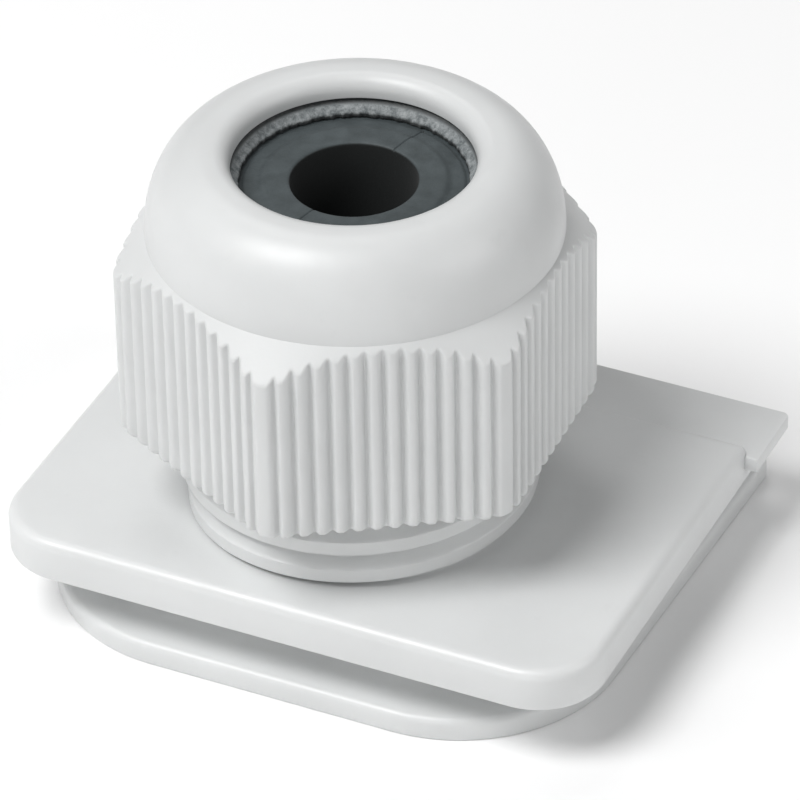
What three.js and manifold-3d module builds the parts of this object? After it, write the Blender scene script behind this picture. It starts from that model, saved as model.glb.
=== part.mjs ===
// Plastic cable gland on a slide-in flange plate.
//
// The plate, its threaded spigot and the clamping fingers are one moulding. A rubber seal
// stands in the spigot, a pressure ring sits on the seal, and a dome nut screws down over
// both: the ring then bends the fingers inwards and squeezes the seal around the cable.
//
// Millimetres, +Z up. Heights are measured from the underside of the inner flange, and
// plan positions from the gland axis; the whole assembly is moved at the end so that the
// origin is the centre of the underside of the part's box.

import * as THREE from 'three';
import { mergeVertices } from 'three/addons/utils/BufferGeometryUtils.js';
import Module from 'manifold-3d';

const wasm = await Module();
wasm.setup();

// ---------------------------------------------------------------- driving dimensions

// Outer plate, measured from the gland axis to the front and to the rear, and its tongue
const plateWidth = 38;
const plateFront = 13;
const plateRear = 12.5;
const plateThickness = 2.7;
const plateCorner = 4.2;
const plateRearCorner = 0.65;
const plateEdge = 0.6;
const plateShift = 0.55;
const tongueReach = 17.3;
const tongueDrop = 0.75;
const tongueThickness = 0.95;
const tongueOverhang = 0.85;
const tongueCorner = 0.4;

// Slot that takes the enclosure wall, and the flange behind the wall
const slotHeight = 2.8;
const slotDepth = 3.2;
const slotLength = 20;
const flangeThickness = 1.5;
const flangeInset = 1.5;
const flangeFlare = 1;
const flangeOverreach = 1.6;
const flangeCorner = 10;
const flangeEdge = 0.4;
const flangeRearCorner = 0.5;
const webSetback = 1.6;

// Cored-out underside
const coreWall = 1.6;
const coreRib = 1.2;
const coreRibPitch = 4.4;
const coreRoof = 2.2;

// Dome nut: spanner size, height, and how far it stands above the plate
const nutFlats = 25;
const nutHeight = 18.15;
const nutGap = 5.6;
const nutWall = 1.9;
const nutCornerCut = 0.354;
const nutTurned = 2.35;
const nutBottomEdge = 0.4;
const nutEntryPlay = 0.35;
const nutEntryDepth = 0.8;
const nutChamfer = 2.05;
const domeRise = 5.25;
const domeInset = 0.33;
const crownWidth = 1.47;
const lipHeight = 1.35;
const lipRound = 0.9;

// Grip grooves on the nut's flats
const groovePitch = 1.065;
const grooveWidth = 0.5;
const grooveDepth = 0.4;
const gripLand = 0.8;

// Thread between spigot and nut, right-handed; phase is where it starts, in degrees
const threadPitch = 2;
const threadDepth = 0.75;
const threadCrestHalf = 0.28;
const threadRootHalf = 0.68;
const threadLift = 0.95;
const threadLeadIn = 0.2;
const threadPhase = -71;
const threadPlay = 0.15;
const threadSidePlay = 0.12;

// Nut travel from its place here: down to fully tight, and up to where the fingers stand free
const tightTravel = 4;
const openTravel = 1;

// Spigot walls, and the height of the seal's seat above the plate
const spigotWall = 2;
const tubeWall = 2;
const boreStep = 0.85;
const seatRise = 4.9;

// Clamping fingers
const fingerCount = 12;
const fingerThickness = 1.15;
const fingerHinge = 0.3;
const fingerGap = 0.3;

// Rubber seal
const sealBore = 7.4;
const sealPlay = 0.15;
const sealSink = 0.7;
const sealMouth = 1.5;
const sealMouthDepth = 2.4;
const sealEdge = 0.3;

// Pressure ring
const ringHeight = 6;
const ringLand = 0.9;
const ringCone = 20;
const ringPlay = 0.12;
const ringCover = 1.1;
const ringFunnelWidth = 0.5;
const ringFunnelDepth = 0.55;
const shoulderWidth = 0.975;
const shoulderDrop = 1.3;

// Gap between pieces that rest on each other, and how far joined shapes sink in
const restGap = 0.1;
const sink = 0.4;

// Facets in a full turn and round a corner
const roundSteps = 36;
const cornerSteps = 6;

// ---------------------------------------------------------------- worked-out sizes

// Heights of the plate
const slotRoof = flangeThickness + slotHeight;
const plateTop = slotRoof + plateThickness;
const tongueTop = plateTop - tongueDrop;
const tongueBottom = tongueTop - tongueThickness;
const plateLeft = plateShift - plateWidth / 2;
const plateRight = plateShift + plateWidth / 2;
const flangeReach = tongueReach + flangeOverreach;

// Radii, from the spanner size inwards
const nutCorner = nutFlats / 2 / Math.cos(Math.PI / 6) - nutCornerCut;
const domeRadius = nutFlats / 2 - domeInset;
const threadCrest = nutFlats / 2 - nutWall;
const threadRoot = threadCrest - threadDepth;
const nutBore = threadRoot + threadPlay;
const ringOuter = threadRoot;
const spigotBore = threadRoot - spigotWall;
const cableBore = spigotBore - boreStep;
const sealOuter = spigotBore - sealPlay;
const ringHole = sealOuter - ringCover;
const nutMouth = ringHole + ringFunnelWidth;
const domeCrown = nutMouth + crownWidth;
const shoulderRadius = ringOuter - shoulderWidth;

// Heights of the nut and of what it holds, from its top down
const nutBottom = plateTop + nutGap;
const nutTop = nutBottom + nutHeight;
const domeBase = nutTop - domeRise;
const domeSeat = nutTop - lipHeight - shoulderDrop;
const ringTop = nutTop - lipHeight - restGap;
const ringFloor = ringTop - ringLand;
const ringBottom = ringTop - ringHeight;
const sealTop = ringTop - sealSink;
const seatHeight = plateTop + seatRise;
const threadEnd = ringBottom - sink;
const spigotTop = threadEnd - tightTravel - fingerHinge;
const threadStart = plateTop + threadLift;

// Fingers: an upright finger swings inwards about its foot as the ring's cone comes down
const cone = THREE.MathUtils.degToRad(ringCone);
const fingerOuter = spigotBore + fingerThickness;
const fingerPivot = spigotBore + fingerThickness / 2;
const fingerTip = fingerThickness / 2;
const fingerFoot = spigotTop + fingerHinge;
const fingerTop = ringFloor - tightTravel;
const fingerArm = fingerTop - fingerTip - fingerFoot;
const fullTravel = openTravel + tightTravel;
const fullSwing = cone + Math.asin((fullTravel / fingerArm - 1) * Math.sin(cone));
const fingerLean = fullSwing * openTravel / fullTravel;

// ---------------------------------------------------------------- solids

// Turns a closed three.js geometry into a manifold solid.
function solid(geometry) {
  const bare = geometry.index ? geometry.toNonIndexed() : geometry.clone();
  bare.deleteAttribute('normal');
  bare.deleteAttribute('uv');
  const merged = mergeVertices(bare, 1e-5);
  const vertProperties = new Float32Array(merged.attributes.position.array);
  const triVerts = new Uint32Array(merged.index.array);
  const mesh = new wasm.Mesh({ numProp: 3, vertProperties, triVerts });
  return new wasm.Manifold(mesh);
}

// Turns a manifold solid back into a three.js geometry.
function geometryOf(body) {
  const mesh = body.getMesh();
  const geometry = new THREE.BufferGeometry();
  const stride = mesh.numProp;
  const count = mesh.vertProperties.length / stride;
  const positions = new Float32Array(count * 3);
  for (let i = 0; i < count; i += 1) {
    for (let k = 0; k < 3; k += 1) {
      positions[3 * i + k] = mesh.vertProperties[stride * i + k];
    }
  }
  geometry.setAttribute('position', new THREE.BufferAttribute(positions, 3));
  geometry.setIndex(new THREE.BufferAttribute(new Uint32Array(mesh.triVerts), 1));
  const flat = geometry.toNonIndexed();
  flat.computeVertexNormals();
  return flat;
}

// Revolves a profile of [radius, height] pairs about +Z. The pairs run up the outside.
function turned(profile) {
  const points = profile.map(([r, z]) => new THREE.Vector2(r, z));
  const geometry = new THREE.LatheGeometry(points, roundSteps);
  return geometry.rotateX(Math.PI / 2);
}

// A turned solid whose profile closes on itself, as a ring's does.
function ring(profile) {
  return turned([...profile, profile[0]]);
}

// A plain disc or rod about +Z.
function rod(radius, low, high) {
  return solid(turned([[0, low], [radius, low], [radius, high], [0, high]]));
}

// Outline through corners [x, y, radius], anticlockwise, each rounded by its radius.
function outline(corners) {
  const shape = new THREE.Shape();
  const count = corners.length;
  corners.forEach(([x, y, radius], i) => {
    const corner = new THREE.Vector2(x, y);
    const back = new THREE.Vector2(...corners[(i + count - 1) % count]).sub(corner);
    const ahead = new THREE.Vector2(...corners[(i + 1) % count]).sub(corner);
    back.normalize();
    ahead.normalize();
    const half = Math.acos(back.dot(ahead)) / 2;
    const middle = back.clone().add(ahead).normalize();
    const centre = corner.clone().addScaledVector(middle, radius / Math.sin(half));
    const from = Math.atan2(back.x, -back.y);
    shape.absarc(centre.x, centre.y, radius, from, from + Math.PI - 2 * half, false);
  });
  return shape;
}

// A prism on an outline, from one height to another.
function prism(shape, low, high) {
  const depth = high - low;
  const options = { depth, bevelEnabled: false, curveSegments: cornerSteps };
  const geometry = new THREE.ExtrudeGeometry(shape, options);
  return solid(geometry.translate(0, 0, low));
}

// A prism whose top edge is rounded; its bottom edge stays sharp.
function softPrism(shape, low, high, edge) {
  const geometry = new THREE.ExtrudeGeometry(shape, {
    depth: high - low - edge,
    curveSegments: cornerSteps,
    bevelThickness: edge,
    bevelSize: edge,
    bevelOffset: -edge,
    bevelSegments: 2,
  });
  const whole = solid(geometry.translate(0, 0, low));
  const reach = 100;
  const below = new THREE.BoxGeometry(reach, reach, reach);
  return whole.subtract(solid(below.translate(0, 0, low - reach / 2)));
}

// A helical ridge on a cylinder: a trapezium swept along a right-handed helix.
function ridge(root, crest, rootHalf, crestHalf, low, high, phase) {
  const steps = Math.round((high - low) / threadPitch * roundSteps);
  const taper = roundSteps / 4;
  const positions = [];
  const indices = [];
  for (let i = 0; i <= steps; i += 1) {
    const turn = i / roundSteps;
    const angle = THREE.MathUtils.degToRad(phase) + turn * 2 * Math.PI;
    const z = low + turn * threadPitch;
    const grown = Math.min(1, (i + 1) / taper, (steps - i + 1) / taper);
    const top = root + (crest - root) * grown;
    const section = [
      [root - sink, -rootHalf], [top, -crestHalf], [top, crestHalf], [root - sink, rootHalf],
    ];
    for (const [r, dz] of section) {
      positions.push(r * Math.cos(angle), r * Math.sin(angle), z + dz);
    }
  }
  for (let i = 0; i < steps; i += 1) {
    for (let k = 0; k < 4; k += 1) {
      const a = 4 * i + k;
      const b = 4 * i + (k + 1) % 4;
      indices.push(a, b + 4, b, a, a + 4, b + 4);
    }
  }
  const last = 4 * steps;
  indices.push(0, 1, 2, 0, 2, 3, last, last + 2, last + 1, last, last + 3, last + 2);
  const geometry = new THREE.BufferGeometry();
  geometry.setAttribute('position', new THREE.Float32BufferAttribute(positions, 3));
  geometry.setIndex(indices);
  return solid(geometry);
}

// ---------------------------------------------------------------- slide-in plate

// Outline of the inner flange drawn in by an inset, with its sides opening to the rear.
function flangeOutline(inset, rear, corner) {
  const front = plateWidth / 2 - flangeInset - inset;
  const back = front + flangeFlare;
  return outline([
    [-front, inset - plateFront, flangeCorner - inset],
    [front, inset - plateFront, flangeCorner - inset],
    [back, rear, corner],
    [-back, rear, corner],
  ]);
}

function outerPlate() {
  const shape = outline([
    [plateLeft, -plateFront, plateCorner],
    [plateRight, -plateFront, plateCorner],
    [plateRight, plateRear, plateRearCorner],
    [plateLeft, plateRear, plateRearCorner],
  ]);
  return softPrism(shape, slotRoof, plateTop, plateEdge);
}

function tongue() {
  const left = plateLeft - tongueOverhang;
  const right = plateRight + tongueOverhang;
  const shape = outline([
    [left, plateRear - sink, tongueCorner / 2],
    [right, plateRear - sink, tongueCorner / 2],
    [right, tongueReach, tongueCorner],
    [left, tongueReach, tongueCorner],
  ]);
  return prism(shape, tongueBottom, tongueTop);
}

// Solid shoulders that close the slot towards the rear, where the wall ends.
function shoulders() {
  const foot = plateWidth / 2 - flangeInset + flangeFlare / 2;
  const shape = new THREE.Shape();
  shape.moveTo(-foot, flangeThickness - sink);
  shape.lineTo(foot, flangeThickness - sink);
  shape.lineTo(plateRight - restGap, slotRoof);
  shape.lineTo(plateRight - restGap, tongueBottom + restGap);
  shape.lineTo(plateLeft + restGap, tongueBottom + restGap);
  shape.lineTo(plateLeft + restGap, slotRoof);
  const start = slotLength - plateFront;
  const depth = tongueReach - restGap - start;
  const geometry = new THREE.ExtrudeGeometry(shape, { depth, bevelEnabled: false });
  geometry.rotateX(Math.PI / 2).translate(0, start + depth, 0);
  return solid(geometry);
}

// Pockets under the plate, with ribs between them and a tube wall around the bore.
function corePockets() {
  const inset = slotDepth + coreWall;
  const shape = flangeOutline(inset, tongueReach - inset, coreWall);
  const roof = plateTop - coreRoof;
  let pockets = prism(shape, -sink, roof);
  pockets = pockets.subtract(rod(cableBore + tubeWall, -sink, roof + sink));
  const ribs = Math.floor(plateWidth / 2 / coreRibPitch);
  for (let i = -ribs; i <= ribs; i += 1) {
    const rib = new THREE.BoxGeometry(coreRib, 3 * tongueReach, 3 * roof);
    pockets = pockets.subtract(solid(rib.translate(i * coreRibPitch, 0, 0)));
  }
  return pockets;
}

function spigot() {
  const core = solid(turned([
    [0, flangeThickness],
    [cableBore + tubeWall, flangeThickness],
    [cableBore + tubeWall, slotRoof],
    [threadRoot, slotRoof],
    [threadRoot, spigotTop - 2 * threadLeadIn],
    [threadRoot - threadLeadIn, spigotTop],
    [0, spigotTop],
  ]));
  const run = spigotTop - threadRootHalf - threadStart;
  const turns = Math.floor(run / threadPitch * 4) / 4;
  const thread = ridge(threadRoot, threadCrest, threadRootHalf, threadCrestHalf,
    threadStart, threadStart + turns * threadPitch, threadPhase);
  return core.add(thread);
}

function slidePlate() {
  const web = flangeOutline(slotDepth, tongueReach - webSetback, flangeRearCorner);
  const flange = flangeOutline(0, flangeReach, flangeRearCorner);
  const body = outerPlate()
    .add(tongue())
    .add(prism(web, flangeThickness - sink, slotRoof + sink))
    .add(softPrism(flange, 0, flangeThickness, flangeEdge))
    .add(shoulders())
    .add(spigot());
  return body
    .subtract(corePockets())
    .subtract(rod(cableBore, -sink, spigotTop))
    .subtract(rod(spigotBore, seatHeight, spigotTop + sink));
}

// ---------------------------------------------------------------- clamping fingers

// Width of a finger whose inside stands at a radius, with its neighbours beside it.
function fingerWidth(radius) {
  return 2 * radius * Math.tan(Math.PI / fingerCount) - fingerGap;
}

// Points over a finger's rounded tip, from its outside to its inside.
function roundTip(z) {
  const steps = 4;
  return Array.from({ length: steps + 1 }, (_, i) => {
    const a = i / steps * Math.PI;
    return [fingerPivot + fingerTip * Math.cos(a), z + fingerTip * Math.sin(a)];
  });
}

// One upright finger on the +X side, its hinge line at the origin of its own frame. Its tip
// is narrow enough for the ring of tips to close up when the nut is fully tight.
function finger() {
  const length = fingerTop - fingerFoot;
  const shell = solid(ring([
    [spigotBore, 0],
    [fingerOuter, 0],
    ...roundTip(length - fingerTip),
  ]));
  const closed = fingerPivot - fingerTip - length * Math.sin(fullSwing);
  const root = fingerWidth(spigotBore) / 2;
  const tip = fingerWidth(closed) / 2;
  const face = new THREE.Shape();
  face.moveTo(-root, -sink);
  face.lineTo(root, -sink);
  face.lineTo(tip, length + sink);
  face.lineTo(-tip, length + sink);
  face.closePath();
  const wedge = new THREE.ExtrudeGeometry(face, { depth: 2 * fingerOuter, bevelEnabled: false });
  wedge.rotateX(Math.PI / 2).rotateZ(Math.PI / 2);
  const shape = shell.intersect(solid(wedge));
  return geometryOf(shape).translate(-fingerPivot, 0, 0);
}

// ---------------------------------------------------------------- rubber seal

function seal() {
  const foot = seatHeight + restGap;
  const waist = fingerTop - fingerTip;
  const shoulder = ringFloor - restGap;
  const neck = coneRadius(shoulder) - sealPlay - restGap;
  const crown = ringHole - restGap;
  return solid(ring([
    [sealBore / 2 + sealMouth, foot],
    [sealOuter - sealEdge, foot],
    [sealOuter, foot + sealEdge],
    [sealOuter, fingerFoot],
    [sealOuter - (waist - fingerFoot) * Math.tan(fingerLean), waist],
    [neck, shoulder],
    [crown, shoulder],
    [crown - sealEdge, sealTop],
    [sealBore / 2, sealTop],
    [sealBore / 2, foot + sealMouthDepth],
  ]));
}

// ---------------------------------------------------------------- pressure ring

// Inside radius of the ring's cone at a height, just clear of the leaning finger tips.
function coneRadius(z) {
  const tipRadius = fingerPivot - fingerArm * Math.sin(fingerLean);
  const tipHeight = fingerFoot + fingerArm * Math.cos(fingerLean);
  const across = tipRadius * Math.cos(cone) + tipHeight * Math.sin(cone);
  return (across + fingerTip + ringPlay - z * Math.sin(cone)) / Math.cos(cone);
}

function pressureRing() {
  return solid(ring([
    [coneRadius(ringBottom), ringBottom],
    [ringOuter, ringBottom],
    [ringOuter, domeSeat - restGap],
    [shoulderRadius - restGap, ringTop],
    [nutMouth - restGap / 2, ringTop],
    [ringHole, ringTop - ringFunnelDepth],
    [ringHole, ringFloor],
    [coneRadius(ringFloor), ringFloor],
  ]));
}

// ---------------------------------------------------------------- dome nut

// Points of the dome from its base up over the crown and down to the mouth.
function domeProfile() {
  const points = [];
  const steps = 7;
  const reach = domeRadius - domeCrown;
  for (let i = 0; i <= steps; i += 1) {
    const a = i / steps * Math.PI / 2;
    points.push([domeCrown + reach * Math.cos(a), domeBase + domeRise * Math.sin(a)]);
  }
  const lipSteps = 3;
  for (let i = 0; i <= lipSteps; i += 1) {
    const a = i / lipSteps * Math.PI / 2;
    const inwards = lipRound * (1 - Math.sin(a));
    points.push([nutMouth + inwards, nutTop - lipRound * (1 - Math.cos(a))]);
  }
  return points;
}

// Cross-section of the nut's hexagon, with its grip grooves cut into each flat.
function grippedHexagon() {
  const shape = new THREE.Shape();
  const across = nutFlats / 2;
  const corner = across * Math.tan(Math.PI / 6);
  const grooveCount = Math.floor(2 * (corner - gripLand) / groovePitch) + 1;
  const first = -(grooveCount - 1) / 2 * groovePitch;
  for (let flat = 0; flat < 6; flat += 1) {
    const turn = THREE.MathUtils.degToRad(60 * flat + nutTurned);
    const at = (along, out) => [
      out * Math.cos(turn) - along * Math.sin(turn),
      out * Math.sin(turn) + along * Math.cos(turn),
    ];
    if (flat === 0) shape.moveTo(...at(-corner, across));
    else shape.lineTo(...at(-corner, across));
    for (let i = 0; i < grooveCount; i += 1) {
      const middle = first + i * groovePitch;
      shape.lineTo(...at(middle - grooveWidth / 2, across));
      shape.lineTo(...at(middle, across - grooveDepth));
      shape.lineTo(...at(middle + grooveWidth / 2, across));
    }
  }
  shape.closePath();
  return shape;
}

// The nut's hexagon, cut round at its corners and coned at its top.
function nutBody() {
  const hexagon = prism(grippedHexagon(), nutBottom, domeBase);
  const envelope = solid(turned([
    [0, nutBottom],
    [nutCorner - nutBottomEdge, nutBottom],
    [nutCorner, nutBottom + nutBottomEdge],
    [nutCorner, domeBase - nutChamfer],
    [domeRadius, domeBase],
    [0, domeBase],
  ]));
  const dome = solid(turned([
    [0, domeBase - nutChamfer],
    [domeRadius - sink / 2, domeBase - nutChamfer],
    ...domeProfile(),
    [0, nutTop - lipRound],
  ]));
  return hexagon.intersect(envelope).add(dome);
}

// What is taken out of the nut: its bore, the ring's seat and the mouth.
function nutHollow() {
  const entry = threadCrest + nutEntryPlay;
  return solid(turned([
    [0, nutBottom - sink],
    [entry, nutBottom - sink],
    [entry, nutBottom + nutEntryDepth / 2],
    [nutBore, nutBottom + nutEntryDepth],
    [nutBore, domeSeat],
    [shoulderRadius, nutTop - lipHeight],
    [nutMouth, nutTop - lipHeight],
    [nutMouth, nutTop + sink],
    [0, nutTop + sink],
  ]));
}

// The thread groove, in step with the spigot's thread and a little larger all round.
function nutThread() {
  const below = Math.ceil((nutBottom - threadStart) / threadPitch) - 2;
  const start = threadStart + below * threadPitch;
  const turns = Math.ceil((threadEnd - start) / threadPitch);
  const groove = ridge(nutBore, threadCrest + threadPlay, threadRootHalf + threadSidePlay,
    threadCrestHalf + threadSidePlay, start, start + turns * threadPitch, threadPhase);
  return groove.subtract(rod(nutCorner, threadEnd, nutTop));
}

function domeNut() {
  return nutBody().subtract(nutHollow()).subtract(nutThread());
}

// ---------------------------------------------------------------- assembly

function finish(color, roughness) {
  return new THREE.MeshStandardMaterial({ color, roughness, metalness: 0 });
}

const housingPlastic = finish(0xe4e6e6, 0.38);
const nutPlastic = finish(0xeaebeb, 0.32);
const ringPlastic = finish(0xa9aeaf, 0.6);
const sealRubber = finish(0x4b5558, 0.75);

function piece(name, geometry, material) {
  const mesh = new THREE.Mesh(geometry, material);
  mesh.name = name;
  return mesh;
}

// A finger stands on its hinge line, leans inwards, and is turned to its place.
function placedFinger(index, geometry) {
  const mesh = piece(`finger_${String(index + 1).padStart(2, '0')}`, geometry, housingPlastic);
  mesh.rotation.y = -fingerLean;
  const stand = new THREE.Group();
  stand.position.set(fingerPivot, 0, fingerFoot);
  stand.add(mesh);
  const turn = new THREE.Group();
  turn.rotation.z = index / fingerCount * 2 * Math.PI;
  turn.add(stand);
  return turn;
}

const assembly = new THREE.Group();
assembly.add(piece('slide_plate', geometryOf(slidePlate()), housingPlastic));
const fingerShape = finger();
for (let i = 0; i < fingerCount; i += 1) assembly.add(placedFinger(i, fingerShape));
assembly.add(piece('seal', geometryOf(seal()), sealRubber));
assembly.add(piece('pressure_ring', geometryOf(pressureRing()), ringPlastic));
assembly.add(piece('dome_nut', geometryOf(domeNut()), nutPlastic));
const frontReach = Math.max(plateFront, nutCorner);
assembly.position.set(-plateShift, (frontReach - flangeReach) / 2, 0);

const group = new THREE.Group();
group.add(assembly);

export default group;
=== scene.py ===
import math

import bpy
import numpy as np
from mathutils import Matrix, Vector


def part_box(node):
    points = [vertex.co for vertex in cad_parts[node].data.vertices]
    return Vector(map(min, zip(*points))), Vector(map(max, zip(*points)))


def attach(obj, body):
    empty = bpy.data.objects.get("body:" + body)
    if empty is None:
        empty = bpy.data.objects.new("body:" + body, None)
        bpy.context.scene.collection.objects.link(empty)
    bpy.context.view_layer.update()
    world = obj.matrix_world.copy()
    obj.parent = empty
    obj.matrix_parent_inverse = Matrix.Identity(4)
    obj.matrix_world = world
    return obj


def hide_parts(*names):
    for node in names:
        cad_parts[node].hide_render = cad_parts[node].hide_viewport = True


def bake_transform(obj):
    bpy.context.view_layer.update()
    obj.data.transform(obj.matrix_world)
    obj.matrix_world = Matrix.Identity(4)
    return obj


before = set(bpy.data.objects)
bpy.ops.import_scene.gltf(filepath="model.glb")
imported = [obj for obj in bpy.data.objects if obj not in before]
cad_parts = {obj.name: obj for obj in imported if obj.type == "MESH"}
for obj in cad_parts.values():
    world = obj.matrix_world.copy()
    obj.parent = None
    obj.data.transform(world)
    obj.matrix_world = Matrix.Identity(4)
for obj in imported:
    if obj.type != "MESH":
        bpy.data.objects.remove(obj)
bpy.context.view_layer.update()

# ------------------------------------------------------------------ slide-in plate
# One injection moulding in light grey polyamide: an outer plate with rounded edges, a slot
# under it for the enclosure's wall, an inner flange, and a threaded spigot on top. It is
# cored out from below, and slides into a U-shaped cut-out from the wall's edge.

MM = 0.001
plate_low, plate_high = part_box("slide_plate")
nut_low, nut_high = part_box("dome_nut")
ring_low, ring_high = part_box("pressure_ring")

# The gland's axis, about which everything turned is modelled, and the plate's own middle
axis_x = (ring_low.x + ring_high.x) / 2
axis_y = (ring_low.y + ring_high.y) / 2
plate_middle = (plate_low.x + plate_high.x) / 2 - axis_x

# Plate, in metres from the gland's axis and from the flange's underside
plate_half = 19 * MM
plate_front = -13 * MM
plate_rear = 12.5 * MM
plate_thickness = 2.7 * MM
plate_corner = 4.2 * MM
plate_rear_corner = 0.3 * MM
plate_edge = 0.6 * MM
slot_height = 2.8 * MM
slot_depth = 3.2 * MM
flange_thickness = 1.5 * MM
flange_inset = 1.5 * MM
flange_flare = 1 * MM
flange_corner = 10 * MM
flange_edge = 0.4 * MM
flange_rear_corner = 0.5 * MM
slot_roof = flange_thickness + slot_height
plate_top = slot_roof + plate_thickness
tongue_top = plate_top - 0.75 * MM
tongue_bottom = tongue_top - 0.95 * MM
tongue_reach = plate_high.y - axis_y - 1.6 * MM
flange_reach = plate_high.y - axis_y - 0.01 * MM
slot_end = 7 * MM
slot_run_out = 1.6 * MM
fillet_in = 1.5 * MM
fillet_up = 1.0 * MM
core_wall = 1.6 * MM
rib_pitch = 4.4 * MM
rib_half = 0.6 * MM

# Spigot and its thread
thread_crest = 10.6 * MM
thread_root = 9.85 * MM
thread_pitch = 2 * MM
thread_start = plate_top + 0.95 * MM
thread_phase = math.radians(-71)
crest_half = 0.42 * MM
root_half = 0.93 * MM
thread_first = -0.35 * thread_pitch
thread_run_out = thread_pitch / 4
thread_softness = 0.35
fine_step = 0.06 * MM
coarse_step = 0.12 * MM
spigot_wall = 2 * MM
spigot_bore = thread_root - spigot_wall
cable_bore = 7 * MM
tube = cable_bore + 2 * MM
seat_height = plate_top + 4.9 * MM
spigot_top = plate_high.z
base_fillet = 0.12 * MM


def smooth(t):
    t = np.clip(t, 0, 1)
    return t * t * (3 - 2 * t)


def outline(left, right, front, rear, front_corner, rear_corner, flare=0.0):
    """Dense points round a four-sided outline with rounded corners, anticlockwise."""
    corners = [
        (left, front, front_corner), (right, front, front_corner),
        (right + flare, rear, rear_corner), (left - flare, rear, rear_corner),
    ]
    points = []
    for i, (x, y, radius) in enumerate(corners):
        here = np.array([x, y])
        back = np.array(corners[i - 1][:2]) - here
        ahead = np.array(corners[(i + 1) % 4][:2]) - here
        back, ahead = back / np.linalg.norm(back), ahead / np.linalg.norm(ahead)
        half = math.acos(back @ ahead) / 2
        middle = (back + ahead) / np.linalg.norm(back + ahead)
        centre = here + middle * radius / math.sin(half)
        first = math.atan2(back[0], -back[1])
        for a in np.linspace(first, first + math.pi - 2 * half, 25):
            points.append(centre + radius * np.array([math.cos(a), math.sin(a)]))
    return np.array(points)


def reach(points, angles):
    """How far an outline lies from the gland's axis in each direction."""
    closed = np.vstack([points, points[:1]])
    dense = np.vstack([
        a + (b - a) * np.linspace(0, 1, 60, endpoint=False)[:, None]
        for a, b in zip(closed[:-1], closed[1:])
    ])
    turn = np.unwrap(np.arctan2(dense[:, 1], dense[:, 0]))
    far = np.hypot(dense[:, 0], dense[:, 1])
    order = np.argsort(turn)
    return np.interp(angles, turn[order], far[order], period=2 * math.pi)


def plate_outline(inset, rear=plate_rear):
    return outline(
        plate_middle - plate_half + inset, plate_middle + plate_half - inset,
        plate_front + inset, rear - inset, plate_corner - inset,
        max(plate_rear_corner - inset, 0.1 * MM),
    )


def flange_outline(inset, rear=flange_reach):
    half = plate_half - flange_inset - inset
    return outline(
        -half, half, plate_front + inset, rear - inset,
        max(flange_corner - inset, MM), flange_rear_corner, flange_flare,
    )


def rounded(points, steps=6):
    """A profile of (radius, height, rounding) with each corner rounded off."""
    path = []
    for i, (r, z, rounding) in enumerate(points):
        here = np.array([r, z])
        if rounding == 0:
            path.append(here)
            continue
        back = np.array(points[i - 1][:2]) - here
        ahead = np.array(points[(i + 1) % len(points)][:2]) - here
        cut = min(rounding, np.linalg.norm(back) / 2.1, np.linalg.norm(ahead) / 2.1)
        start = here + back / np.linalg.norm(back) * cut
        end = here + ahead / np.linalg.norm(ahead) * cut
        for t in np.linspace(0, 1, steps):
            path.append((1 - t) ** 2 * start + 2 * t * (1 - t) * here + t * t * end)
    return path


def around(angles, radius, height):
    """A row of points about the gland's axis, one for each angle."""
    radius = np.broadcast_to(radius, angles.shape)
    height = np.broadcast_to(height, angles.shape)
    return np.stack([radius * np.cos(angles), radius * np.sin(angles), height], 1)


def skin(rows):
    """Vertices and faces of a closed body: its rows run up the outside and down the bore."""
    count = len(rows[0])
    vertices = np.vstack(rows)
    faces = []
    for i in range(len(rows)):
        here, above = i * count, (i + 1) % len(rows) * count
        for k in range(count):
            after = (k + 1) % count
            faces.append((here + k, here + after, above + after, above + k))
    return vertices, faces


def slab(points, low, high, edge):
    """A flat bar on an outline, with its edges rounded top and bottom."""
    middle = points.mean(0)
    half = np.abs(points - middle).max(0)
    rows = []
    for z, a in [(low, 0), (low, 45), (low, 90), (high, 90), (high, 45), (high, 0)]:
        drawn = edge * (1 - math.sin(math.radians(a)))
        raised = edge * (1 - math.cos(math.radians(a)))
        level = z + raised if z == low else z - raised
        flat = middle + (points - middle) * (half - drawn) / half
        rows.append(np.column_stack([flat, np.full(len(points), level)]))
    count = len(points)
    faces = [
        (i * count + k, i * count + (k + 1) % count, (i + 1) * count + (k + 1) % count,
         (i + 1) * count + k)
        for i in range(len(rows) - 1) for k in range(count)
    ]
    faces.append(tuple(reversed(range(count))))
    faces.append(tuple(range((len(rows) - 1) * count, len(rows) * count)))
    return np.vstack(rows), faces


def body(name, shells, material, crease=34):
    """One mesh object from closed shells, smooth but for edges sharper than the crease."""
    vertices, faces = [], []
    for points, around_it in shells:
        start = sum(len(v) for v in vertices)
        vertices.append(points)
        faces += [tuple(start + i for i in face) for face in around_it]
    mesh = bpy.data.meshes.new(name)
    placed = np.vstack(vertices) + np.array([axis_x, axis_y, 0])
    mesh.from_pydata(placed.tolist(), [], faces)
    mesh.validate()
    mesh.shade_smooth()
    mesh.set_sharp_from_angle(angle=math.radians(crease))
    mesh.materials.append(material)
    piece = bpy.data.objects.new(name, mesh)
    bpy.context.scene.collection.objects.link(piece)
    return piece


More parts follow.
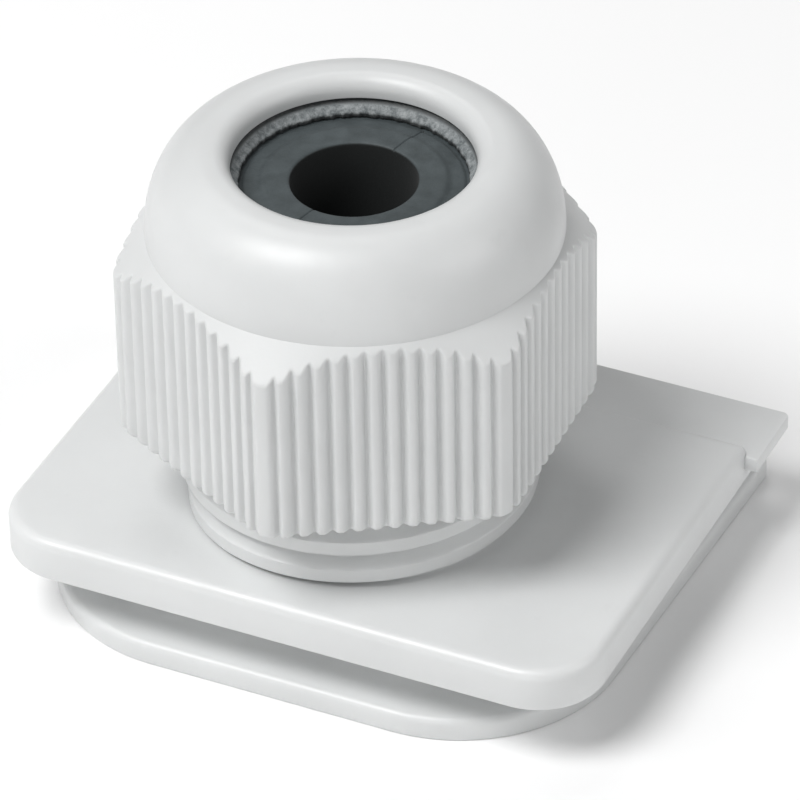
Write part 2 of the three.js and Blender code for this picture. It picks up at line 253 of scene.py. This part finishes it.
def thread_height(angles, z, root, crest, half_root, half_crest, first, last):
    """Radius of a threaded cylinder at a height: a rounded right-handed ridge on its root."""
    turns = (angles - thread_phase) / (2 * math.pi)
    climb = turns - np.floor(turns)
    nearest = np.round((z - thread_start) / thread_pitch - climb)
    centre = thread_start + (nearest + climb) * thread_pitch
    along = (nearest + climb) * thread_pitch
    grown = smooth((along - first) / thread_run_out) * smooth((last - along) / thread_run_out)
    away = np.abs(z - centre)
    slope = smooth((half_root - away) / (half_root - half_crest))
    straight = np.clip((half_root - away) / (half_root - half_crest), 0, 1)
    raised = thread_softness * slope + (1 - thread_softness) * straight
    return root + (crest - root) * grown * raised


# Sockets of a Mix node that mixes colours: its two inputs and its output
first_colour, second_colour, mixed_colour = 6, 7, 2


def grey_polyamide(name, colour, gloss, grain):
    """Moulded polyamide: faintly cloudy colour, small smudges and a fine moulded skin."""
    made = bpy.data.materials.new(name)
    made.use_nodes = True
    nodes, links = made.node_tree.nodes, made.node_tree.links
    shader = nodes["Principled BSDF"]
    place = nodes.new("ShaderNodeTexCoord")

    def noise(scale, detail, rough):
        node = nodes.new("ShaderNodeTexNoise")
        node.inputs["Scale"].default_value = scale
        node.inputs["Detail"].default_value = detail
        node.inputs["Roughness"].default_value = rough
        links.new(place.outputs["Object"], node.inputs["Vector"])
        return node.outputs["Fac"]

    def ranged(value, low, high, to_low, to_high):
        node = nodes.new("ShaderNodeMapRange")
        node.inputs["From Min"].default_value = low
        node.inputs["From Max"].default_value = high
        node.inputs["To Min"].default_value = to_low
        node.inputs["To Max"].default_value = to_high
        links.new(value, node.inputs["Value"])
        return node.outputs["Result"]

    def mixed(share, first, second):
        node = nodes.new("ShaderNodeMix")
        node.data_type = "RGBA"
        links.new(share, node.inputs["Factor"])
        for socket, value in ((first_colour, first), (second_colour, second)):
            if isinstance(value, tuple):
                node.inputs[socket].default_value = (*value, 1)
            else:
                links.new(value, node.inputs[socket])
        return node.outputs[mixed_colour]

    cloud = ranged(noise(130, 3, 0.55), 0.35, 0.7, 0, 1)
    darker = tuple(c * 0.955 for c in colour)
    tone = mixed(cloud, colour, darker)
    smudge = ranged(noise(420, 6, 0.7), 0.62, 0.78, 0, 0.35)
    tone = mixed(smudge, tone, tuple(c * 0.86 for c in colour))
    links.new(tone, shader.inputs["Base Color"])
    polish = ranged(noise(650, 4, 0.6), 0.3, 0.75, gloss - 0.05, gloss + 0.09)
    links.new(polish, shader.inputs["Roughness"])
    skin_bump = nodes.new("ShaderNodeBump")
    skin_bump.inputs["Strength"].default_value = grain
    skin_bump.inputs["Distance"].default_value = 0.02 * MM
    links.new(noise(5200, 3, 0.6), skin_bump.inputs["Height"])
    wave_bump = nodes.new("ShaderNodeBump")
    wave_bump.inputs["Strength"].default_value = 0.25
    wave_bump.inputs["Distance"].default_value = 0.05 * MM
    links.new(noise(240, 2, 0.5), wave_bump.inputs["Height"])
    links.new(wave_bump.outputs["Normal"], skin_bump.inputs["Normal"])
    links.new(skin_bump.outputs["Normal"], shader.inputs["Normal"])
    shader.inputs["IOR"].default_value = 1.52
    shader.inputs["Subsurface Weight"].default_value = 0.12
    shader.inputs["Subsurface Radius"].default_value = (0.9 * MM, 0.85 * MM, 0.8 * MM)
    shader.inputs["Subsurface Scale"].default_value = 1
    return made


plate_plastic = grey_polyamide("plate_plastic", (0.70, 0.71, 0.71), 0.36, 0.35)

# Directions of the plate's columns: every half degree, and closer together at its corners
corner_turns = (-33, 33, -146, 146, 44, 136)
plate_angles = np.radians(np.unique(np.round(np.concatenate(
    [np.arange(-180, 180, 0.5)] + [turn + np.arange(-4, 4.1, 0.25) for turn in corner_turns]
), 3)))
quarter = np.radians(np.linspace(0, 90, 7))
lower_edge = [(0.15 * MM, 0), (0.04 * MM, 0.05 * MM), (0, 0.16 * MM)]


def plate_row(edge, height):
    return around(plate_angles, reach(edge, plate_angles), height)


# Inner flange: underside edge, side and rounded upper edge
rows = [plate_row(flange_outline(inset), z) for inset, z in lower_edge]
for a in quarter:
    inset = flange_edge * (1 - math.cos(a))
    z = flange_thickness - flange_edge * (1 - math.sin(a))
    rows.append(plate_row(flange_outline(inset), z))

# Slot: a fillet up from the flange, the web, and the roof; it closes behind the wall's end
flange_side = reach(flange_outline(flange_edge), plate_angles)
plate_side = reach(plate_outline(0.1 * MM, tongue_reach), plate_angles)
past_end = flange_side * np.sin(plate_angles) - slot_end
opened = 1 - smooth((past_end + slot_run_out / 2) / slot_run_out)
slot_path = [
    (slot_depth - fillet_in * (1 - math.sin(a)), flange_thickness + fillet_up * (1 - math.cos(a)))
    for a in quarter
]
slot_path += [(slot_depth, slot_roof - s * MM) for s in (1.2, 0.7, 0.2)]
slot_path += [(slot_depth - 0.06 * MM, slot_roof - 0.06 * MM), (slot_depth - 0.2 * MM, slot_roof)]
for inset, z in slot_path:
    share = (z - flange_thickness) / slot_height
    closed = flange_side * (1 - share) + plate_side * share
    wanted = reach(flange_outline(inset, tongue_reach), plate_angles)
    rows.append(around(plate_angles, closed + (wanted - closed) * opened, z))

# Outer plate: lower edge, side, and rounded upper edge; its rear runs under the tongue
for inset, z in lower_edge:
    rows.append(plate_row(plate_outline(inset, tongue_reach), slot_roof + z))
rows.append(plate_row(plate_outline(0, tongue_reach), tongue_bottom + 0.3 * MM))
for z in (tongue_bottom + 0.5 * MM, plate_top - plate_edge - 0.1 * MM):
    rows.append(plate_row(plate_outline(0), z))
for a in quarter:
    inset = plate_edge * (1 - math.cos(a))
    z = plate_top - plate_edge * (1 - math.sin(a))
    rows.append(plate_row(plate_outline(inset), z))

# Top face in to the spigot's foot, and the small fillet there
top_edge = reach(plate_outline(plate_edge), plate_angles)
foot = thread_root + base_fillet
for t in (0.04, 0.25, 0.5, 0.75, 0.93):
    rows.append(around(plate_angles, top_edge + (foot - top_edge) * t, plate_top))
for a in quarter:
    rows.append(around(
        plate_angles, foot - base_fillet * math.sin(a), plate_top + base_fillet * (1 - math.cos(a)),
    ))

# Threaded spigot: fine rows where the thread shows below the nut, coarser ones above
quarter_turns = math.floor((spigot_top - root_half - thread_start) / thread_pitch * 4)
thread_last = quarter_turns / 4 * thread_pitch
shown = np.arange(plate_top + base_fillet + fine_step, nut_low.z + 1.2 * MM, fine_step)
hidden = np.arange(shown[-1] + 0.1 * MM, spigot_top - 0.45 * MM, coarse_step)
for z in np.concatenate([shown, hidden]):
    rows.append(around(plate_angles, thread_height(
        plate_angles, z, thread_root, thread_crest, root_half, crest_half, thread_first, thread_last,
    ), z))
inside = rounded([
    (thread_root, spigot_top - 0.4 * MM, 0), (thread_root - 0.2 * MM, spigot_top, 0.1 * MM),
    (spigot_bore, spigot_top, 0.15 * MM), (spigot_bore, seat_height, 0.2 * MM),
    (cable_bore, seat_height, 0.2 * MM), (cable_bore, 0, 0.25 * MM),
    (tube, 0, 0.1 * MM),
])
rows += [around(plate_angles, r, z) for r, z in inside[:-1]]

# Underside: the tube round the bore, the moat about it and the wall outside that
core_roof = plate_top - 2.2 * MM
core_edge = flange_outline(slot_depth + core_wall, tongue_reach)
core_side = reach(core_edge, plate_angles)
for radius, z in [
    (tube, 0.1 * MM), (tube, core_roof - 0.3 * MM), (tube + 0.3 * MM, core_roof),
    (core_side - 0.3 * MM, core_roof), (core_side, core_roof - 0.3 * MM),
    (core_side, 0.1 * MM), (core_side + 0.1 * MM, 0),
]:
    rows.append(around(plate_angles, radius, z))
shells = [skin(rows)]

# Ribs across the cored-out underside
core_low, core_far = core_edge.min(0), core_edge.max(0)
front_end, rear_end = core_low[1] - 0.2 * MM, core_far[1] + 0.2 * MM
for i in range(-2, 3):
    x = i * rib_pitch
    spans = [(front_end, rear_end)]
    if abs(x) < tube:
        inner = math.sqrt(tube ** 2 - x ** 2) - 0.3 * MM
        spans = [(front_end, -inner), (inner, rear_end)]
    for y0, y1 in spans:
        bar = outline(x - rib_half, x + rib_half, y0, y1, 0.1 * MM, 0.1 * MM)
        shells.append(slab(bar, 0.02 * MM, core_roof + 0.2 * MM, 0.08 * MM))

# Thin tongue behind the plate, a little wider than the plate on both sides
tongue_edge = outline(
    plate_low.x - axis_x, plate_high.x - axis_x, plate_rear - 0.4 * MM, tongue_reach,
    0.1 * MM, 0.4 * MM,
)
shells.append(slab(tongue_edge, tongue_bottom, tongue_top, 0.12 * MM))

plate = body("moulded_plate", shells, plate_plastic)
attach(plate, "slide_plate")
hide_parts("slide_plate")

# ------------------------------------------------------------------ clamping fingers
# Twelve thin fingers stand on the spigot's rim and are one moulding with it. The pressure
# ring's cone bends them inwards about their thin roots as the nut is tightened.

for name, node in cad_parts.items():
    if name.startswith("finger_"):
        node.data.materials.clear()
        node.data.materials.append(plate_plastic)
        soften = node.modifiers.new("moulded_edges", "BEVEL")
        soften.width = 0.12 * MM
        soften.segments = 3
        soften.limit_method = "ANGLE"
        soften.angle_limit = math.radians(40)

# ------------------------------------------------------------------ rubber seal
# A moulded rubber bush standing on a step in the spigot, tapered so that the fingers can close
# on it. Its flat crown shows in the nut's mouth, crossed by the fine line the mould leaves.

seal_low, seal_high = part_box("seal")
seal_bore = 3.7 * MM
seal_side = spigot_bore - 0.15 * MM
seal_crown = 6.5 * MM
seal_rim = 6.93 * MM
seal_waist_side = 5.65 * MM
seal_bottom = seal_low.z
seal_top = seal_high.z
seal_neck = seal_top - 0.3 * MM
seal_waist = 27.95 * MM
seal_shoulder = 20.6 * MM
parting_line = 77.2
parting_turn = math.radians(parting_line)
parting_width = 0.055 * MM
parting_depth = 0.07 * MM

seal_profile = rounded([
    (seal_bore + 1.5 * MM, seal_bottom, 0.2 * MM), (seal_side, seal_bottom, 0.3 * MM),
    (seal_side, seal_shoulder, 0.8 * MM), (seal_waist_side, seal_waist, 0.1 * MM),
    (seal_rim - 0.08 * MM, seal_neck - 0.06 * MM, 0.04 * MM),
    (seal_rim, seal_neck, 0.05 * MM), (seal_crown, seal_neck, 0.06 * MM),
    (seal_crown - 0.16 * MM, seal_neck + 0.1 * MM, 0.12 * MM),
    (seal_crown - 0.9 * MM, seal_top - 0.14 * MM, 0.3 * MM),
    (5.3 * MM, seal_top, 0.25 * MM), (4.6 * MM, seal_top, 0), (4.2 * MM, seal_top, 0),
    (seal_bore, seal_top, 0.22 * MM), (seal_bore, seal_bottom + 2.4 * MM, 0.4 * MM),
], steps=8)

# Columns stand closer together where the parting line crosses the crown
seal_angles = np.radians(np.unique(np.round(np.concatenate(
    [np.arange(-180, 180, 1.5)]
    + [turn + np.arange(-3.2, 3.3, 0.2) for turn in (parting_line, parting_line - 180)]
), 3)))
seal_rows = []
for r, z in seal_profile:
    row = around(seal_angles, r, z)
    if z > seal_neck:
        off_line = r * np.sin(seal_angles - parting_turn)
        row[:, 2] -= parting_depth * np.exp(-(off_line / parting_width) ** 2)
    seal_rows.append(row)


def dark_rubber(name):
    """Matt slate rubber: fine grain and a few pale specks; faces turned away from up, such as the
    bore's wall, get painted shade.
    """
    made = bpy.data.materials.new(name)
    made.use_nodes = True
    nodes, links = made.node_tree.nodes, made.node_tree.links
    shader = nodes["Principled BSDF"]
    place = nodes.new("ShaderNodeTexCoord")
    cloud = nodes.new("ShaderNodeTexNoise")
    cloud.inputs["Scale"].default_value = 900
    cloud.inputs["Detail"].default_value = 7
    cloud.inputs["Roughness"].default_value = 0.65
    links.new(place.outputs["Object"], cloud.inputs["Vector"])
    tone = nodes.new("ShaderNodeValToRGB")
    tone.color_ramp.elements[0].position = 0.3
    tone.color_ramp.elements[0].color = (0.030, 0.040, 0.043, 1)
    tone.color_ramp.elements[1].position = 0.72
    tone.color_ramp.elements[1].color = (0.058, 0.073, 0.078, 1)
    speck = tone.color_ramp.elements.new(0.85)
    speck.color = (0.10, 0.12, 0.125, 1)
    links.new(cloud.outputs["Fac"], tone.inputs["Fac"])
    # Painted shade: surfaces that do not face up, such as the bore's wall, are painted near black;
    # only up-facing ones keep the slate tone
    surface = nodes.new("ShaderNodeNewGeometry")
    facing = nodes.new("ShaderNodeSeparateXYZ")
    links.new(surface.outputs["Normal"], facing.inputs["Vector"])
    up_facing_share = nodes.new("ShaderNodeMapRange")
    up_facing_share.inputs["From Min"].default_value = 0.25
    up_facing_share.inputs["From Max"].default_value = 0.75
    links.new(facing.outputs["Z"], up_facing_share.inputs["Value"])
    painted_shade_tone = nodes.new("ShaderNodeMix")
    painted_shade_tone.data_type = "RGBA"
    links.new(up_facing_share.outputs["Result"], painted_shade_tone.inputs["Factor"])
    painted_shade_tone.inputs[first_colour].default_value = (0.008, 0.010, 0.010, 1)
    links.new(tone.outputs["Color"], painted_shade_tone.inputs[second_colour])
    links.new(painted_shade_tone.outputs[mixed_colour], shader.inputs["Base Color"])
    grain = nodes.new("ShaderNodeTexNoise")
    grain.inputs["Scale"].default_value = 7000
    grain.inputs["Detail"].default_value = 4
    links.new(place.outputs["Object"], grain.inputs["Vector"])
    bump = nodes.new("ShaderNodeBump")
    bump.inputs["Strength"].default_value = 0.5
    bump.inputs["Distance"].default_value = 0.03 * MM
    links.new(grain.outputs["Fac"], bump.inputs["Height"])
    links.new(bump.outputs["Normal"], shader.inputs["Normal"])
    shader.inputs["Roughness"].default_value = 0.62
    shader.inputs["IOR"].default_value = 1.5
    shader.inputs["Sheen Weight"].default_value = 0.05
    shader.inputs["Sheen Roughness"].default_value = 0.6
    return made


seal = body("rubber_seal", [skin(seal_rows)], dark_rubber("seal_rubber_black"), crease=50)
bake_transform(seal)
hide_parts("seal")

# ------------------------------------------------------------------ pressure ring
# A turned ring of natural plastic between seal and nut, with a cone inside that closes the
# fingers. The nut slips round on its top face, which is rubbed dull and mottled.

ring_outer = thread_root
ring_hole = 6.6 * MM
ring_top = ring_high.z
ring_bottom = ring_low.z
ring_shoulder = 28.0 * MM
ring_top_edge = 8.775 * MM
ring_land = 0.9 * MM
nut_mouth = 7.1 * MM
cone_low, cone_high = 9.0 * MM, 7.15 * MM

ring_profile = rounded([
    (cone_low, ring_bottom, 0.1 * MM), (ring_outer, ring_bottom, 0.15 * MM),
    (ring_outer, ring_shoulder, 0.2 * MM), (ring_top_edge, ring_top, 0.12 * MM),
    (nut_mouth + 0.3 * MM, ring_top, 0.1 * MM), (nut_mouth, ring_top - 0.2 * MM, 0.12 * MM),
    (ring_hole + 0.12 * MM, ring_top - 0.52 * MM, 0.14 * MM),
    (ring_hole, ring_top - 0.68 * MM, 0.08 * MM), (ring_hole, ring_top - ring_land, 0.05 * MM),
    (cone_high, ring_top - ring_land, 0.08 * MM),
])
ring_angles = np.linspace(-math.pi, math.pi, 720, endpoint=False)

# The hole's lower edge is chipped: waves of (count, start, size) make it wander
waves = [
    (7, 0.4, 0.5), (19, 1.9, 0.8), (31, 4.1, 1.0), (53, 0.7, 1.0), (87, 2.6, 0.8), (131, 5.2, 0.6),
]
ragged = sum(size * np.sin(count * ring_angles + start) for count, start, size in waves)
ragged = np.clip(ragged / 2.2, -1, 1)
chipped = (0.055 + 0.06 * ragged) * MM
chip_height = 0.28 * MM
ring_rows = []
for r, z in ring_profile:
    on_edge = math.exp(-((z - ring_top + ring_land) / chip_height) ** 2) if r < nut_mouth else 0
    ring_rows.append(around(ring_angles, r + chipped * on_edge, z))


def rubbed_plastic(name):
    """Natural plastic rubbed by the nut: mottled grey, with painted shade along both edges of the
    hole.
    """
    made = bpy.data.materials.new(name)
    made.use_nodes = True
    nodes, links = made.node_tree.nodes, made.node_tree.links
    shader = nodes["Principled BSDF"]
    place = nodes.new("ShaderNodeTexCoord")
    mottle = nodes.new("ShaderNodeTexNoise")
    mottle.inputs["Scale"].default_value = 2600
    mottle.inputs["Detail"].default_value = 6
    mottle.inputs["Roughness"].default_value = 0.72
    links.new(place.outputs["Object"], mottle.inputs["Vector"])
    tone = nodes.new("ShaderNodeValToRGB")
    tone.color_ramp.elements[0].position = 0.38
    tone.color_ramp.elements[0].color = (0.10, 0.115, 0.12, 1)
    tone.color_ramp.elements[1].position = 0.68
    tone.color_ramp.elements[1].color = (0.34, 0.36, 0.365, 1)
    links.new(mottle.outputs["Fac"], tone.inputs["Fac"])
    height = nodes.new("ShaderNodeSeparateXYZ")
    links.new(place.outputs["Object"], height.inputs["Vector"])
    # Painted shade: the ring is darkened everywhere but a band in the middle of its hole's wall, so
    # the hole's lower edge over the seal and its upper edge under the nut's lip read as shaded gaps;
    # the band wanders with the mottle
    edge_shade_ramp = nodes.new("ShaderNodeValToRGB")
    edge_shade_ramp.color_ramp.elements[0].position = 0.0
    edge_shade_ramp.color_ramp.elements[0].color = (0.12, 0.12, 0.12, 1)
    edge_shade_ramp.color_ramp.elements[1].position = 1.0
    edge_shade_ramp.color_ramp.elements[1].color = (0.15, 0.15, 0.15, 1)
    for spot, share in ((0.2, 0.25), (0.36, 1.0), (0.72, 1.0), (0.82, 0.3)):
        stop = edge_shade_ramp.color_ramp.elements.new(spot)
        stop.color = (share, share, share, 1)
    level = nodes.new("ShaderNodeMapRange")
    level.inputs["From Min"].default_value = ring_top - ring_land
    level.inputs["From Max"].default_value = ring_top
    links.new(height.outputs["Z"], level.inputs["Value"])
    uneven = nodes.new("ShaderNodeMath")
    uneven.operation = "MULTIPLY_ADD"
    links.new(mottle.outputs["Fac"], uneven.inputs[0])
    uneven.inputs[1].default_value = 0.3
    uneven.inputs[2].default_value = -0.15
    shifted = nodes.new("ShaderNodeMath")
    links.new(level.outputs["Result"], shifted.inputs[0])
    links.new(uneven.outputs["Value"], shifted.inputs[1])
    links.new(shifted.outputs["Value"], edge_shade_ramp.inputs["Fac"])
    shade_multiplied = nodes.new("ShaderNodeMix")
    shade_multiplied.data_type = "RGBA"
    shade_multiplied.blend_type = "MULTIPLY"
    shade_multiplied.inputs["Factor"].default_value = 1
    links.new(tone.outputs["Color"], shade_multiplied.inputs[first_colour])
    links.new(edge_shade_ramp.outputs["Color"], shade_multiplied.inputs[second_colour])
    links.new(shade_multiplied.outputs[mixed_colour], shader.inputs["Base Color"])
    rough = nodes.new("ShaderNodeBump")
    rough.inputs["Strength"].default_value = 0.8
    rough.inputs["Distance"].default_value = 0.05 * MM
    links.new(mottle.outputs["Fac"], rough.inputs["Height"])
    links.new(rough.outputs["Normal"], shader.inputs["Normal"])
    shader.inputs["Roughness"].default_value = 0.6
    shader.inputs["IOR"].default_value = 1.5
    return made


ring = body("slip_ring", [skin(ring_rows)], rubbed_plastic("ring_natural"))
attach(ring, "pressure_ring")
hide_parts("pressure_ring")

# ------------------------------------------------------------------ dome nut
# Injection-moulded hexagon nut with grip grooves on its six flats, a chamfer that cuts the
# grooves off in pointed arches, and a domed top with a rounded mouth. It screws on the spigot.

nut_flats = 12.5 * MM
nut_corner = 14.08 * MM
nut_turned = math.radians(2.35)
nut_bottom = nut_low.z
nut_top = nut_high.z
dome_base = nut_top - 5.25 * MM
dome_radius = 12.17 * MM
dome_crown = 8.57 * MM
chamfer_drop = 2.05 * MM
bottom_edge = 0.4 * MM
groove_pitch = 1.065 * MM
groove_count = 13
groove_half = 0.42 * MM
groove_depth = 0.38 * MM
corner_softness = 0.35 * MM
arch_softness = 0.1 * MM
grooved_rows = 42
lip_round = 1.0 * MM
lip_height = 1.35 * MM
seat_side = 8.875 * MM
seat_drop = 1.3 * MM
nut_bore = 10 * MM
nut_thread_top = 23.0 * MM
nut_thread_step = 0.14 * MM
nut_thread_play = 0.12 * MM


def softer(a, b, width):
    """The smaller of two radii, with the crease between them rounded off."""
    near = np.maximum(width - np.abs(a - b), 0) / width
    return np.minimum(a, b) - near * near * width / 4


# Places across one flat where the mesh has a column: twelve to a groove, few at the corners
in_groove = (0.05, 0.11, 0.19, 0.27, 0.36, 0.46)
last_groove = (groove_count - 1) / 2
across = []
for i in range(groove_count):
    middle = (i - last_groove) * groove_pitch
    across += [middle + sign * s * MM for sign in (-1, 1) for s in in_groove]
land = nut_flats * math.tan(math.pi / 6)
across += [sign * land * s for sign in (-1, 1) for s in (0.965, 0.975, 0.984, 0.992)] + [land]
across = np.unique(np.array(across))
nut_angles = np.concatenate([
    np.arctan2(across, nut_flats) + math.radians(60 * flat) + nut_turned for flat in range(6)
])

# Share of the full groove depth in each direction
from_flat = (nut_angles - nut_turned + math.pi / 6) % (math.pi / 3) - math.pi / 6
along = nut_flats * np.tan(from_flat)
number = np.clip(np.round(along / groove_pitch), -last_groove, last_groove)
off = np.abs(along - number * groove_pitch)
grooved = 1 - smooth(off / groove_half)
grooved = 0.55 * grooved + 0.45 * np.clip(1 - off / groove_half, 0, 1) ** 1.3


def gripped_side(depth):
    """Radius of the nut's sides with grip grooves of a depth, its corners turned off round."""
    hexagon = (nut_flats - depth * grooved) / np.cos(from_flat)
    return softer(hexagon, np.full_like(hexagon, nut_corner), corner_softness)


# Rounded lower edge, then the sides: up the chamfer the grooves grow shallower, and its cone
# cuts them off in arches
side = gripped_side(groove_depth)
nut_rows = []
for a in quarter:
    nut_rows.append(around(
        nut_angles, side - bottom_edge * (1 - math.sin(a)),
        nut_bottom + bottom_edge * (1 - math.cos(a)),
    ))
chamfer_start = dome_base - chamfer_drop
chamfer_slope = (nut_corner - dome_radius) / chamfer_drop
for z in np.concatenate([
    np.linspace(nut_bottom + bottom_edge + 0.3 * MM, chamfer_start - 0.5 * MM, 10),
    np.linspace(chamfer_start - 0.4 * MM, dome_base - 0.02 * MM, grooved_rows),
]):
    cone = dome_radius + (dome_base - z) * chamfer_slope
    left = 0.5 + 0.5 * smooth((dome_base - z) / (1.2 * MM))
    cut_side = gripped_side(groove_depth * left)
    cut_off = softer(cut_side, np.full_like(side, cone), arch_softness)
    nut_rows.append(around(nut_angles, cut_off, z))

# Dome, a quarter of an ellipse, and the lip's round over into the mouth
for a in np.radians(np.linspace(0, 90, 34)):
    r = dome_crown + (dome_radius - dome_crown) * math.cos(a)
    z = dome_base + (nut_top - dome_base) * math.sin(a)
    nut_rows.append(around(nut_angles, r, z))
for a in np.radians(np.linspace(0, 90, 14)):
    r = nut_mouth + lip_round * (1 - math.sin(a))
    nut_rows.append(around(nut_angles, r, nut_top - lip_round * (1 - math.cos(a))))

# Down the mouth, over the ring's seat and down the thread inside
nut_inside = rounded([
    (nut_mouth, nut_top - 1.1 * MM, 0), (nut_mouth, nut_top - lip_height, 0.08 * MM),
    (seat_side, nut_top - lip_height, 0.1 * MM),
    (nut_bore, nut_top - lip_height - seat_drop, 0.2 * MM),
    (nut_bore, nut_thread_top + 0.2 * MM, 0),
])
nut_rows += [around(nut_angles, r, z) for r, z in nut_inside]
for z in np.arange(nut_thread_top, nut_bottom + 0.85 * MM, -nut_thread_step):
    cut = thread_height(
        nut_angles, z, nut_bore, thread_crest + 0.15 * MM, root_half + nut_thread_play,
        crest_half + nut_thread_play, -4 * thread_pitch, 40 * thread_pitch,
    )
    fade = smooth((nut_thread_top - 0.1 * MM - z) / (0.4 * MM))
    nut_rows.append(around(nut_angles, nut_bore + (cut - nut_bore) * fade, z))
entry = thread_crest + 0.35 * MM
for r, z in [
    (entry, nut_bottom + 0.4 * MM), (entry, nut_bottom + 0.1 * MM),
    (entry + 0.1 * MM, nut_bottom), (entry + 0.5 * MM, nut_bottom),
]:
    nut_rows.append(around(nut_angles, r, z))

nut_plastic = grey_polyamide("nut_plastic", (0.64, 0.65, 0.65), 0.38, 0.25)
nut = body("domed_nut", [skin(nut_rows)], nut_plastic, crease=40)
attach(nut, "dome_nut")
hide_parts("dome_nut")

# ------------------------------------------------------------------ table, light and camera
# The gland stands on a plain pale table. The strongest light is a soft one high up in front,
# a little to the left; four weak fills stand round it in a dim, even, pale room.

table_mesh = bpy.data.meshes.new("table")
table_mesh.from_pydata([(-3, -3, 0), (3, -3, 0), (3, 3, 0), (-3, 3, 0)], [], [(0, 1, 2, 3)])
table = bpy.data.objects.new("table", table_mesh)
bpy.context.scene.collection.objects.link(table)
table_finish = bpy.data.materials.new("pale_table")
table_finish.use_nodes = True
table_shader = table_finish.node_tree.nodes["Principled BSDF"]
table_shader.inputs["Base Color"].default_value = (0.93, 0.93, 0.93, 1)
table_shader.inputs["Roughness"].default_value = 0.8
table_shader.inputs["Specular IOR Level"].default_value = 0.1
table_mesh.materials.append(table_finish)

lit_point = Vector((axis_x, axis_y, 14 * MM))
light_distance = 0.6
light_width = 0.3


def soft_light(name, towards, power):
    """A round soft light that stands in a direction from the gland and faces it."""
    lamp = bpy.data.lights.new(name, "AREA")
    lamp.shape = "DISK"
    lamp.size = light_width
    lamp.energy = power
    stand = bpy.data.objects.new(name, lamp)
    bpy.context.scene.collection.objects.link(stand)
    direction = Vector(towards).normalized()
    stand.location = lit_point + direction * light_distance
    stand.rotation_mode = "QUATERNION"
    stand.rotation_quaternion = direction.to_track_quat("Z", "Y")


soft_light("window", (-0.27, -0.42, 0.86), 2.6)
soft_light("fill_low", (0.1, -0.96, 0.25), 0.3)
soft_light("fill_left", (-0.6, -0.5, 0.57), 0.5)
soft_light("fill_right", (0.88, 0.05, 0.47), 0.75)
soft_light("fill_behind", (-0.35, 0.38, 0.87), 0.55)

room = bpy.data.worlds.new("pale_room")
room.use_nodes = True
room.node_tree.nodes["Background"].inputs["Color"].default_value = (1, 1, 1, 1)
room.node_tree.nodes["Background"].inputs["Strength"].default_value = 0.22
bpy.context.scene.world = room
bpy.context.scene.view_settings.view_transform = "Standard"

camera_data = bpy.data.cameras.new("camera")
camera_data.lens = 294.3
camera_data.sensor_width = 36
camera_data.clip_start = 0.01
camera_data.clip_end = 10
camera = bpy.data.objects.new("camera", camera_data)
bpy.context.scene.collection.objects.link(camera)
azimuth, elevation, roll = math.radians(25.44), math.radians(36.27), math.radians(-1.1)
camera_distance = 387.54 * MM
shift_right, shift_up = 2.297 * MM, 4.736 * MM
back = Vector((
    math.sin(azimuth) * math.cos(elevation), -math.cos(azimuth) * math.cos(elevation),
    math.sin(elevation),
))
level = Vector((math.cos(azimuth), math.sin(azimuth), 0))
upright = back.cross(level)
right = math.cos(roll) * level + math.sin(roll) * upright
up = math.cos(roll) * upright - math.sin(roll) * level
aim = Vector((axis_x, axis_y, plate_top))
place = aim + back * camera_distance + right * shift_right + up * shift_up
turned = Matrix((right, up, back)).transposed().to_4x4()
camera.matrix_world = Matrix.Translation(place) @ turned
bpy.context.scene.camera = camera
